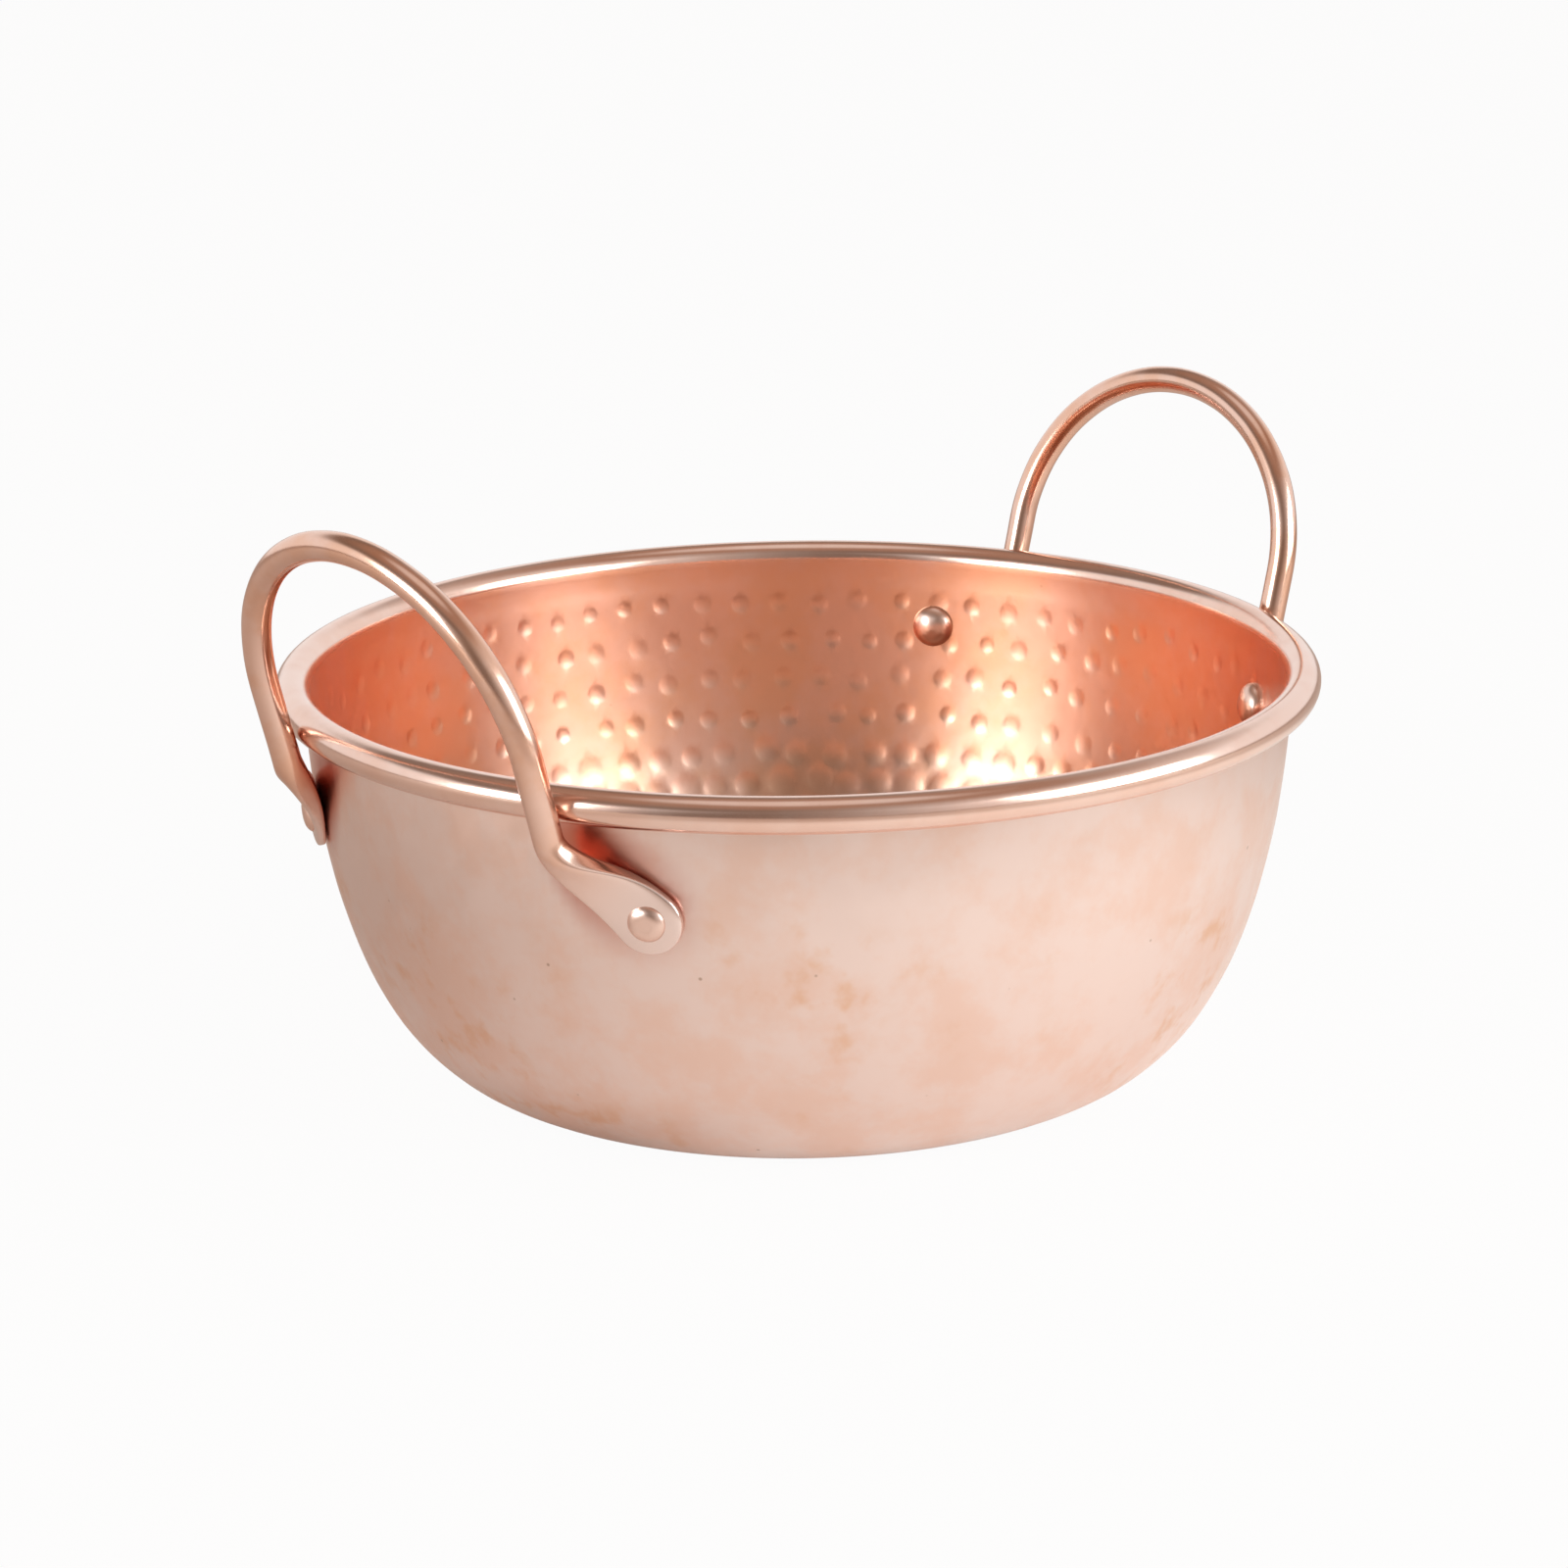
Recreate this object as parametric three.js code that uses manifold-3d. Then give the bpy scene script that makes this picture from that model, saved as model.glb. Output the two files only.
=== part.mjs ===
// A two-handled copper pot: a bowl of sheet copper whose edge is rolled over a wire,
// and two loop handles of round rod whose flattened feet are riveted through the wall.
// Millimetres, +Z up, origin at the centre of the flat base.
// The handles lie along X: the left one on the -X side, the right one on the +X side.
import * as THREE from "three";
import { mergeVertices } from "three/addons/utils/BufferGeometryUtils.js";
import Module from "manifold-3d";

// Bowl
const RIM_DIAMETER = 200; // across the rolled rim
const POT_HEIGHT = 77; // base to the top of the rolled rim
const BASE_DIAMETER = 134.6; // the flat that stands on the hob
const SHEET_THICKNESS = 1.2;
const WALL_FLARE = 1.65; // degrees that the wall leans out below the rim
const WALL_TURN_HEIGHT = 10.9; // the higher, the earlier the wall turns in to the base
const BASE_EDGE_RUN = 2.8; // how far the wall runs out flat where it leaves the base

// Rolled rim
const WIRE_DIAMETER = 3.6;
const WIRE_CLEARANCE = 0.3; // between the wire and the sheet rolled round it
const SEAM_GAP = 0.45; // between the end of the roll and the wall below the rim

// Handles
const ROD_DIAMETER = 5.5;
const HANDLE_WIDTH = 72.8; // between the centre lines of the two legs
const LEG_RISE = 8.8; // straight leg above the middle of the rim
const LEG_BELOW_RIM = 1.7; // straight leg below the rolled rim
const ARCH_RISE = 34.6; // from the legs' straight part to the top of the loop
const HANDLE_LEAN = 15; // degrees that the loop leans out
const HANDLE_SKEW = 1.25; // degrees that each handle sits to the front of the X axis
const LEG_CLEARANCE = 0.45; // between a leg and the rim that it passes
const FOOT_SPREAD = 14.4; // along the wall, from a leg out to its rivet
const FOOT_BEND_AT_LEG = 6; // how far the bend into the foot reaches up the leg
const FOOT_BEND_AT_RIVET = 9; // and how far it stays flat on the wall before the rivet
const PADDLE_WIDTH = 12.6; // the flattened foot, across
const PADDLE_THICKNESS = 2.2;
const FLAT_SQUARENESS = 3.4; // the flattened foot's section, from 2 for an oval up to a square edge
const TIP_SWEEP = 84; // degrees of the foot's round tip before its small blunt end

// Rivets
const LEFT_RIVET_DROP = 23.6; // from the top of the rim down to the rivets
const RIGHT_RIVET_DROP = 17.4;
const SHANK_DIAMETER = 4.6;
const SHANK_CLEARANCE = 0.3; // round the shank, in the wall and in the foot
const SEAT_CLEARANCE = 0.35; // under each head and between the foot and the wall
const INNER_HEAD_DIAMETER = 8.8;
const INNER_HEAD_HEIGHT = 2.6;
const OUTER_HEAD_DIAMETER = 6.8;
const OUTER_HEAD_HEIGHT = 1.7;

// Fineness of the facets
const BOWL_SEGMENTS = 64;
const WALL_STEPS = 11;
const ROLL_STEPS = 10;
const WIRE_SIDES = 8;
const ROD_SIDES = 12;
const FOOT_STEPS = 8;
const TIP_STEPS = 4;
const ARCH_STEPS = 20;
const RIVET_SEGMENTS = 16;
const DOME_STEPS = 4;
const HOLE_SEGMENTS = 20;

const copper = new THREE.MeshStandardMaterial({ color: 0xe0a890, roughness: 0.25, metalness: 1 });
const rodCopper = new THREE.MeshStandardMaterial({ color: 0xd99a80, roughness: 0.2, metalness: 1 });
const rivetCopper = new THREE.MeshStandardMaterial({ color: 0xc98a70, roughness: 0.3, metalness: 1 });
const steel = new THREE.MeshStandardMaterial({ color: 0x8a8d90, roughness: 0.5, metalness: 1 });

const wasm = await Module();
wasm.setup();

const radians = THREE.MathUtils.degToRad;
const mix = THREE.MathUtils.lerp;
const ease = (x) => THREE.MathUtils.smoothstep(x, 0, 1);

// Solids

function toSolid(geometry) {
  const bare = geometry.clone();
  bare.deleteAttribute("normal");
  bare.deleteAttribute("uv");
  const merged = mergeVertices(bare);
  return new wasm.Manifold(
    new wasm.Mesh({
      numProp: 3,
      vertProperties: merged.attributes.position.array,
      triVerts: new Uint32Array(merged.index.array),
    }),
  );
}

function toGeometry(solid) {
  const mesh = solid.getMesh();
  return new THREE.BufferGeometry()
    .setAttribute("position", new THREE.BufferAttribute(mesh.vertProperties, 3))
    .setIndex(new THREE.BufferAttribute(mesh.triVerts, 1));
}

function drill(geometry, holes) {
  const cut = holes.reduce((solid, hole) => solid.subtract(toSolid(hole)), toSolid(geometry));
  return toGeometry(cut);
}

// A profile of (radius, height) points turned round the Z axis.
function turned(profile, segments) {
  return new THREE.LatheGeometry(profile, segments).rotateX(Math.PI / 2);
}

function arcPoints(centre, radius, from, to, steps) {
  return Array.from({ length: steps + 1 }, (_, i) => {
    const angle = radians(mix(from, to, i / steps));
    return new THREE.Vector2(centre.x + radius * Math.cos(angle), centre.y + radius * Math.sin(angle));
  });
}

// The bowl's outline

const rollRadius = WIRE_DIAMETER / 2 + WIRE_CLEARANCE + SHEET_THICKNESS;
const rollCentre = new THREE.Vector2(RIM_DIAMETER / 2 - rollRadius, POT_HEIGHT - rollRadius);
const wallTop = new THREE.Vector2(rollCentre.x - rollRadius + SHEET_THICKNESS, rollCentre.y);
const wallFoot = new THREE.Vector2(BASE_DIAMETER / 2, 0);
const wallTurn = new THREE.Vector2(
  wallTop.x - (wallTop.y - WALL_TURN_HEIGHT) * Math.tan(radians(WALL_FLARE)),
  WALL_TURN_HEIGHT,
);
const wallLine = new THREE.CubicBezierCurve(
  wallFoot,
  new THREE.Vector2(wallFoot.x + BASE_EDGE_RUN, 0),
  wallTurn,
  wallTop,
);

// A point of the wall's outside as { point, normal }, at a share of the outline from the base up.
function wallAt(share) {
  const tangent = wallLine.getTangent(share);
  return { point: wallLine.getPoint(share), normal: new THREE.Vector2(tangent.y, -tangent.x) };
}

function wallAtHeight(height) {
  let [low, high] = [0, 1];
  for (let i = 0; i < 40; i++) {
    const middle = (low + high) / 2;
    if (wallLine.getPoint(middle).y < height) low = middle;
    else high = middle;
  }
  return wallAt(low);
}

function bowlProfile() {
  const outside = [];
  const inside = [];
  for (let i = 0; i <= WALL_STEPS; i++) {
    const { point, normal } = wallAt(i / WALL_STEPS);
    outside.push(point);
    inside.unshift(point.clone().addScaledVector(normal, -SHEET_THICKNESS));
  }
  const rollEnd = -THREE.MathUtils.radToDeg(Math.acos((SHEET_THICKNESS + SEAM_GAP) / rollRadius - 1));
  const rollInside = arcPoints(rollCentre, rollRadius - SHEET_THICKNESS, 180, rollEnd, ROLL_STEPS);
  const rollOutside = arcPoints(rollCentre, rollRadius, rollEnd, 180, ROLL_STEPS);
  return [
    new THREE.Vector2(0, 0),
    ...outside,
    ...rollInside.slice(1),
    ...rollOutside,
    ...inside.slice(1),
    new THREE.Vector2(0, SHEET_THICKNESS),
  ];
}

// Where a rivet sits: a point on the wall's outside, and the outward normal there.
function rivetSeat(azimuth, drop) {
  const { point, normal } = wallAtHeight(POT_HEIGHT - drop);
  const outward = new THREE.Vector3(Math.cos(azimuth), Math.sin(azimuth), 0);
  return {
    point: outward.clone().multiplyScalar(point.x).setZ(point.y),
    normal: outward.clone().multiplyScalar(normal.x).setZ(normal.y),
  };
}

// Turns a solid made along +Y so that +Y lies along the seat's normal, with its origin on the seat.
function placeOnSeat(object, { point, normal }) {
  const turn = new THREE.Quaternion().setFromUnitVectors(new THREE.Vector3(0, 1, 0), normal);
  return object.applyMatrix4(
    new THREE.Matrix4().compose(point, turn, new THREE.Vector3(1, 1, 1)),
  );
}

// How far a rivet's shank reaches from the seat: out through the foot, and in through the wall to
// where the flat underside of the head clears the hollow wall right out to its edge.
const gripOut = SEAT_CLEARANCE + PADDLE_THICKNESS + SEAT_CLEARANCE;

function gripIn(seat) {
  const wallRadius = Math.hypot(seat.point.x, seat.point.y) - SHEET_THICKNESS;
  const hollow = wallRadius - Math.sqrt(wallRadius ** 2 - (INNER_HEAD_DIAMETER / 2) ** 2);
  return SHEET_THICKNESS + SEAT_CLEARANCE + hollow;
}

function rivetHole(seat) {
  const length = 2 * (gripIn(seat) + gripOut);
  const radius = SHANK_DIAMETER / 2 + SHANK_CLEARANCE;
  return placeOnSeat(new THREE.CylinderGeometry(radius, radius, length, HOLE_SEGMENTS), seat);
}

// A dome's outline from its top, on the axis, out to its edge at the height of its base.
function domePoints(diameter, base, height) {
  return Array.from({ length: DOME_STEPS + 1 }, (_, i) => {
    const angle = (Math.PI / 2) * (i / DOME_STEPS);
    return new THREE.Vector2((diameter / 2) * Math.sin(angle), base + height * Math.cos(angle));
  });
}

// Rivet: a domed head inside the pot, the shank, and a flatter hammered head outside.
function rivetGeometry(seat) {
  const headIn = -gripIn(seat);
  const profile = [
    ...domePoints(INNER_HEAD_DIAMETER, headIn, -INNER_HEAD_HEIGHT),
    new THREE.Vector2(SHANK_DIAMETER / 2, headIn),
    new THREE.Vector2(SHANK_DIAMETER / 2, gripOut),
    ...domePoints(OUTER_HEAD_DIAMETER, gripOut, OUTER_HEAD_HEIGHT).reverse(),
  ];
  return placeOnSeat(new THREE.LatheGeometry(profile, RIVET_SEGMENTS), seat);
}

// Handle, in its own frame with +X pointing out from the pot

const lean = radians(HANDLE_LEAN);
const loopUp = new THREE.Vector3(Math.sin(lean), 0, Math.cos(lean));
const loopOut = new THREE.Vector3(Math.cos(lean), 0, -Math.sin(lean));
const legRadius = RIM_DIAMETER / 2 + LEG_CLEARANCE + ROD_DIAMETER / 2;
const legAzimuth = Math.asin(HANDLE_WIDTH / 2 / legRadius);
const loopOrigin = new THREE.Vector3(legRadius * Math.cos(legAzimuth), 0, rollCentre.y);

function onLoop(across, up) {
  return loopOrigin.clone().addScaledVector(loopUp, up).setY(across);
}

function rivetAzimuth(sign, drop) {
  const { point } = wallAtHeight(POT_HEIGHT - drop);
  return sign * (legAzimuth + FOOT_SPREAD / point.x);
}

// Stations of the bar from the tip of one foot up to where the loop begins to arch. Each has its
// place, the way its flat side faces, and its half sizes across and through.
function footStations(sign, drop) {
  const seat = rivetSeat(rivetAzimuth(sign, drop), drop);
  const middle = seat.point.clone().addScaledVector(seat.normal, SEAT_CLEARANCE + PADDLE_THICKNESS / 2);
  const legEnd = onLoop((sign * HANDLE_WIDTH) / 2, -rollRadius - LEG_BELOW_RIM);
  const along = middle.clone().sub(legEnd).projectOnPlane(seat.normal).normalize();
  const flat = { out: seat.normal, across: PADDLE_WIDTH / 2, through: PADDLE_THICKNESS / 2, squareness: 1 };
  const stations = [];
  for (let i = TIP_STEPS; i > 0; i--) {
    const angle = radians((TIP_SWEEP * i) / TIP_STEPS);
    const place = middle.clone().addScaledVector(along, flat.across * Math.sin(angle));
    stations.push({ ...flat, place, across: flat.across * Math.cos(angle) });
  }
  const bend = new THREE.CubicBezierCurve3(
    middle,
    middle.clone().addScaledVector(along, -FOOT_BEND_AT_RIVET),
    legEnd.clone().addScaledVector(loopUp, -FOOT_BEND_AT_LEG),
    legEnd,
  );
  for (let i = 0; i <= FOOT_STEPS; i++) {
    const share = ease(i / FOOT_STEPS);
    stations.push({
      place: bend.getPoint(i / FOOT_STEPS),
      out: seat.normal.clone().lerp(loopOut, share),
      across: mix(flat.across, ROD_DIAMETER / 2, share),
      through: mix(flat.through, ROD_DIAMETER / 2, share),
      squareness: 1 - share,
    });
  }
  return stations;
}

function archStations() {
  const round = { out: loopOut, across: ROD_DIAMETER / 2, through: ROD_DIAMETER / 2, squareness: 0 };
  return Array.from({ length: ARCH_STEPS + 1 }, (_, i) => {
    const angle = Math.PI * (i / ARCH_STEPS);
    const place = onLoop((HANDLE_WIDTH / 2) * Math.cos(angle), LEG_RISE + ARCH_RISE * Math.sin(angle));
    return { ...round, place };
  });
}

// A ring of points round a station: an oval, squarer where the bar is hammered flat.
function sectionRing(station, before, after) {
  const forward = after.place.clone().sub(before.place).normalize();
  const across = forward.clone().cross(station.out).normalize();
  const out = across.clone().cross(forward);
  const power = 2 / mix(2, FLAT_SQUARENESS, station.squareness);
  const curve = (value) => Math.sign(value) * Math.abs(value) ** power;
  return Array.from({ length: ROD_SIDES }, (_, i) => {
    const angle = 2 * Math.PI * ((i + 0.5) / ROD_SIDES);
    return station.place
      .clone()
      .addScaledVector(across, station.across * curve(Math.cos(angle)))
      .addScaledVector(out, station.through * curve(Math.sin(angle)));
  });
}

// Skins a row of rings and closes both ends with a fan.
function skin(rings) {
  const sides = rings[0].length;
  const points = rings.flat();
  const index = [];
  for (let r = 0; r + 1 < rings.length; r++) {
    for (let i = 0; i < sides; i++) {
      const [a, b] = [r * sides + i, r * sides + ((i + 1) % sides)];
      index.push(a, a + sides, b, b, a + sides, b + sides);
    }
  }
  [0, rings.length - 1].forEach((ring) => {
    const hub = points.length;
    const sum = rings[ring].reduce((total, p) => total.add(p), new THREE.Vector3());
    points.push(sum.divideScalar(sides));
    for (let i = 0; i < sides; i++) {
      const [a, b] = [ring * sides + i, ring * sides + ((i + 1) % sides)];
      index.push(...(ring === 0 ? [hub, a, b] : [hub, b, a]));
    }
  });
  return new THREE.BufferGeometry().setFromPoints(points).setIndex(index);
}

function handleGeometry(drop) {
  const stations = [...footStations(1, drop), ...archStations(), ...footStations(-1, drop).reverse()];
  const rings = stations.map((station, i) =>
    sectionRing(station, stations[Math.max(i - 1, 0)], stations[Math.min(i + 1, stations.length - 1)]),
  );
  const holes = [1, -1].map((sign) => rivetHole(rivetSeat(rivetAzimuth(sign, drop), drop)));
  return drill(skin(rings), holes);
}

// Assembly

const handles = [
  { side: "left", heading: radians(180 + HANDLE_SKEW), drop: LEFT_RIVET_DROP },
  { side: "right", heading: radians(-HANDLE_SKEW), drop: RIGHT_RIVET_DROP },
];
const pot = new THREE.Group();

function add(parent, name, geometry, material) {
  const mesh = new THREE.Mesh(geometry, material);
  mesh.name = name;
  parent.add(mesh);
}

const wallHoles = handles.flatMap(({ heading, drop }) =>
  [1, -1].map((sign) => rivetHole(rivetSeat(heading + rivetAzimuth(sign, drop), drop))),
);
add(pot, "bowl", drill(turned(bowlProfile(), BOWL_SEGMENTS), wallHoles), copper);

const wireProfile = arcPoints(rollCentre, WIRE_DIAMETER / 2, 0, 360, WIRE_SIDES);
wireProfile[WIRE_SIDES] = wireProfile[0].clone();
add(pot, "rim_wire", turned(wireProfile, BOWL_SEGMENTS), steel);

for (const { side, heading, drop } of handles) {
  const group = new THREE.Group();
  group.rotation.z = heading;
  pot.add(group);
  add(group, `${side}_handle`, handleGeometry(drop), rodCopper);
  for (const sign of [1, -1]) {
    const azimuth = rivetAzimuth(sign, drop);
    const end = Math.sin(azimuth + heading) < 0 ? "front" : "back";
    add(group, `${side}_${end}_rivet`, rivetGeometry(rivetSeat(azimuth, drop)), rivetCopper);
  }
}

export default pot;
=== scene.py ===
"""A hammered copper pot with two riveted loop handles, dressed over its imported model.

Every size is in metres, in the model's own frame: +Z up, the origin at the centre of the base.
"""
import math

import bpy
import numpy as np
from bpy.props import FloatProperty, FloatVectorProperty, PointerProperty
from mathutils import Matrix, Vector, geometry, noise


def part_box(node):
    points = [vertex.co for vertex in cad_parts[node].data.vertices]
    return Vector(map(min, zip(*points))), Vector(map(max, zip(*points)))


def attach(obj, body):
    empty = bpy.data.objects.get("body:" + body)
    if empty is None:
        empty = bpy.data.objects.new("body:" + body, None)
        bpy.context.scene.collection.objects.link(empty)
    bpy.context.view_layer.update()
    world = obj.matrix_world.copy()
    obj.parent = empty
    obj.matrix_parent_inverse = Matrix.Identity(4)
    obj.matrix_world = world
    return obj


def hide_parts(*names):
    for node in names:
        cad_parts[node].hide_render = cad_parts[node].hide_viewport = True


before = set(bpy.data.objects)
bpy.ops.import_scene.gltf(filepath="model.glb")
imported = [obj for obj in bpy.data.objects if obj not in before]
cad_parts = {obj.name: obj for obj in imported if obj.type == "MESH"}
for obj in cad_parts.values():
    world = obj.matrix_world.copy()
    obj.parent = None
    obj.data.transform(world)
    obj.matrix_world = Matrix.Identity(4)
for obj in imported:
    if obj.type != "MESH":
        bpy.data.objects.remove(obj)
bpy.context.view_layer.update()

bl_info = {
    "name": "Hammered copper pot",
    "version": (1, 0, 0),
    "blender": (4, 5, 0),
    "location": "View3D > Sidebar > Pot",
    "description": "Builds a hammered copper pot with riveted loop handles over its packed model",
    "category": "Object",
}

BOWL_LOW, BOWL_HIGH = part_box("bowl")
BODY = "root"
# Name of the mask of the painted shade and reflection in the crevices behind the feet
CREVICE_SHADE = "crevice"
FLATTENED = "flattened"
SEED = 20

# Fineness of the meshes
ROUND_SEGMENTS = 320
WALL_STEP = 0.0018
BASE_STEPS = 8
ROLL_STEPS = 26
SMOOTH_STEP = 0.0024
MARK_RINGS = ((0.40, 7), (0.72, 12), (0.92, 15), (1.07, 15), (1.34, 10))  # share of radius, points
NET_ROW_SHARE = 0.87  # between rows of the net inside the pot, as a share of its step
NET_CLEARANCE = 1.6  # how far the net stays away from a mark, in mark radii
OUTLINE_STEPS = 400
ROD_SIDES = 48
TIP_STEPS = 18
FOOT_STEPS = 44
LEG_STEPS = 8
ARCH_STEPS = 96
RIVET_SEGMENTS = 48
DOME_STEPS = 14


# Sizes, colours and lights that a user would change

def length(name, millimetres, description):
    return FloatProperty(
        name=name, description=description, default=millimetres / 1000, unit="LENGTH", precision=5
    )


def angle(name, degrees, description):
    return FloatProperty(
        name=name, description=description, default=math.radians(degrees), unit="ROTATION"
    )


def share(name, value, description):
    return FloatProperty(name=name, description=description, default=value, subtype="FACTOR")


def colour(name, value, description):
    return FloatVectorProperty(
        name=name, description=description, default=value, subtype="COLOR", size=3, min=0, max=1
    )


class BowlSizes(bpy.types.PropertyGroup):
    rim_diameter: length("Rim", (BOWL_HIGH.x - BOWL_LOW.x) * 1000, "Across the rolled rim")
    height: length("Height", (BOWL_HIGH.z - BOWL_LOW.z) * 1000, "Base to the top of the rim")
    base_diameter: length("Base", 134.6, "Across the flat base")
    sheet: length("Sheet", 1.2, "Thickness of the copper sheet")
    flare: angle("Flare", 1.65, "How far the wall leans out below the rim")
    turn_height: length("Turn height", 10.9, "The higher, the earlier the wall turns to the base")
    base_edge_run: length("Base edge run", 2.8, "How far the wall runs out flat from the base")
    roll_diameter: length("Rolled rim", 6.6, "Thickness of the rolled rim")
    seam_gap: length("Seam gap", 0.45, "Between the end of the roll and the wall")
    mark_width: length("Hammer mark", 3.7, "Across one round hammer mark on the upper wall")
    mark_depth: length("Mark depth", 0.12, "Depth of one hammer mark on the upper wall")
    mark_pitch: length("Mark pitch", 8.6, "Between hammer marks along a row on the upper wall")
    row_pitch: length("Row pitch", 8.2, "Between rows of hammer marks on the upper wall")
    first_row: length("First row", 9.5, "From the rolled rim to the first row of marks")
    big_marks_from: length("Big marks from", 38, "From the rolled rim to where the marks get bigger")
    big_mark_width: length("Big mark", 6.2, "Across one hammer mark low in the pot")
    big_mark_depth: length("Big mark depth", 0.16, "Depth of one hammer mark low in the pot")
    big_mark_pitch: length("Big mark pitch", 7.0, "Between hammer marks low in the pot")
    crease_run: length("Crease", 3.4, "From the rolled rim to the crease under it")
    crease_depth: length("Crease depth", 0.09, "Depth of the crease under the rolled rim")
    planish_depth: length("Planishing", 0.12, "Depth of the soft facets on the outside")
    planish_width: length("Planishing width", 17, "Across one soft facet on the outside")


class HandleSizes(bpy.types.PropertyGroup):
    rod: length("Rod", 5.5, "Diameter of the handle rod")
    width: length("Width", 72.8, "Between the centre lines of the legs")
    leg_rise: length("Leg rise", 8.8, "Straight leg above the middle of the rim")
    leg_below_rim: length("Leg drop", 1.7, "Straight leg below the rolled rim")
    arch_rise: length("Arch rise", 34.6, "From the straight legs to the top of the loop")
    lean: angle("Lean", 15, "How far the loop leans out")
    skew: angle("Skew", 1.25, "How far each handle sits to the front")
    leg_clearance: length("Leg clearance", 0.45, "Between a leg and the rim that it passes")
    foot_spread: length("Foot spread", 14.4, "Along the wall, from a leg out to its rivet")
    bend_at_leg: length("Bend at the leg", 6, "How far the bend reaches up the leg")
    bend_at_rivet: length("Bend at the rivet", 9, "How far the foot stays flat on the wall")
    paddle_width: length("Paddle width", 12.6, "Across the flattened foot")
    paddle_thickness: length("Paddle thickness", 2.2, "Through the flattened foot")
    paddle_gap: length("Paddle gap", 0.1, "Between the flattened foot and the wall")
    left_rivet_drop: length("Left rivets", 23.6, "From the rim's top down to the left rivets")
    right_rivet_drop: length("Right rivets", 17.4, "From the rim's top down to the right rivets")
    hand_work: length("Hand work", 0.06, "How uneven the hand-drawn rod is")


class RivetSizes(bpy.types.PropertyGroup):
    shank: length("Shank", 4.6, "Diameter of the shank")
    seat: length("Seat", 0.35, "Model clearance under the heads and the foot")
    inner_head: length("Inner head", 8.8, "Diameter of the domed head inside the pot")
    inner_height: length("Inner head height", 2.6, "Height of the domed head inside the pot")
    outer_head: length("Outer head", 6.8, "Diameter of the hammered head outside")
    outer_height: length("Outer head height", 1.1, "Height of the hammered head outside")
    bedding: length("Bedding", 0.25, "How far a head beds into what it sits on")


class CopperFinish(bpy.types.PropertyGroup):
    clean: colour("Clean copper", (0.86, 0.68, 0.62), "Freshly polished copper of the wall")
    warm: colour("Warm copper", (0.85, 0.61, 0.52), "Wall copper warmed by handling and heat")
    rod: colour("Rod copper", (0.83, 0.56, 0.46), "Copper of the handles, the rivets and the rim")
    warm_rod: colour("Warm rod copper", (0.80, 0.48, 0.35), "Rod copper warmed by handling and heat")
    tarnish: colour("Tarnish", (0.79, 0.45, 0.27), "Orange-brown tarnish in faint patches")
    # Painted shade and reflection: the dark red that the wall shows in the crevices behind the feet,
    # where each foot shades the wall and is mirrored in it
    painted_crevice_shade: colour("Crevice shade", (0.52, 0.14, 0.08), "Redder copper that polishing leaves behind the feet")
    inside: colour("Inside copper", (0.81, 0.51, 0.40), "Copper inside the pot")
    warm_inside: colour("Warm inside", (0.81, 0.47, 0.32), "Inside copper warmed by heat")
    wire: colour("Wire", (0.45, 0.44, 0.43), "Plain steel wire in the rim")


class StageSettings(bpy.types.PropertyGroup):
    floor: colour("Floor", (0.74, 0.65, 0.59), "Pale floor")
    floor_white: share("White floor", 0.95, "How far the floor goes to white in the picture")
    floor_glow: share("Lit floor", 0.55, "How bright the floor's lit side is as the metal mirrors it")
    key_power: FloatProperty(
        name="Key light", description="Soft box on the right", default=3.3, unit="POWER"
    )
    fill_power: FloatProperty(
        name="Fill light", description="Soft box on the left", default=3.9, unit="POWER"
    )


class PotSettings(bpy.types.PropertyGroup):
    bowl: PointerProperty(type=BowlSizes)
    handles: PointerProperty(type=HandleSizes)
    rivets: PointerProperty(type=RivetSizes)
    finish: PointerProperty(type=CopperFinish)
    stage: PointerProperty(type=StageSettings)


def settings():
    return bpy.context.scene.copper_pot


# The wall's outline, shared by the bowl, the handles' feet and the rivets

def roll_radius(bowl):
    return bowl.roll_diameter / 2


def roll_centre(bowl):
    return np.array([bowl.rim_diameter / 2 - roll_radius(bowl), bowl.height - roll_radius(bowl)])


def wall_controls(bowl):
    """The four control points, as (radius, height), of the wall's outside from the base to the rim."""
    top = roll_centre(bowl) + [bowl.sheet - roll_radius(bowl), 0]
    foot = np.array([bowl.base_diameter / 2, 0.0])
    turn = np.array([top[0] - (top[1] - bowl.turn_height) * math.tan(bowl.flare), bowl.turn_height])
    return foot, foot + [bowl.base_edge_run, 0], turn, top


def wall_line(bowl, shares):
    """Points of the wall's outside and their outward normals, as (radius, height) rows."""
    a, b, c, d = wall_controls(bowl)
    t = np.asarray(shares, float)[:, None]
    s = 1 - t
    points = s**3 * a + 3 * s**2 * t * b + 3 * s * t**2 * c + t**3 * d
    along = s**2 * (b - a) + 2 * s * t * (c - b) + t**2 * (d - c)
    along /= np.linalg.norm(along, axis=1)[:, None]
    return points, np.stack([along[:, 1], -along[:, 0]], axis=1)


def even_shares(bowl, step):
    """Shares of the wall's outline that lie about one step apart along it."""
    dense = np.linspace(0, 1, OUTLINE_STEPS)
    points, _ = wall_line(bowl, dense)
    run = np.concatenate([[0], np.cumsum(np.linalg.norm(np.diff(points, axis=0), axis=1))])
    return np.interp(np.linspace(0, run[-1], int(run[-1] / step) + 1), run, dense)


def wall_at_height(bowl, heights):
    """Radius and outward normal of the wall's outside at some heights."""
    points, normals = wall_line(bowl, np.linspace(0, 1, OUTLINE_STEPS))
    radius = np.interp(heights, points[:, 1], points[:, 0])
    normal = np.stack([np.interp(heights, points[:, 1], normals[:, i]) for i in (0, 1)], axis=-1)
    return radius, normal


# Mesh making

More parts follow.
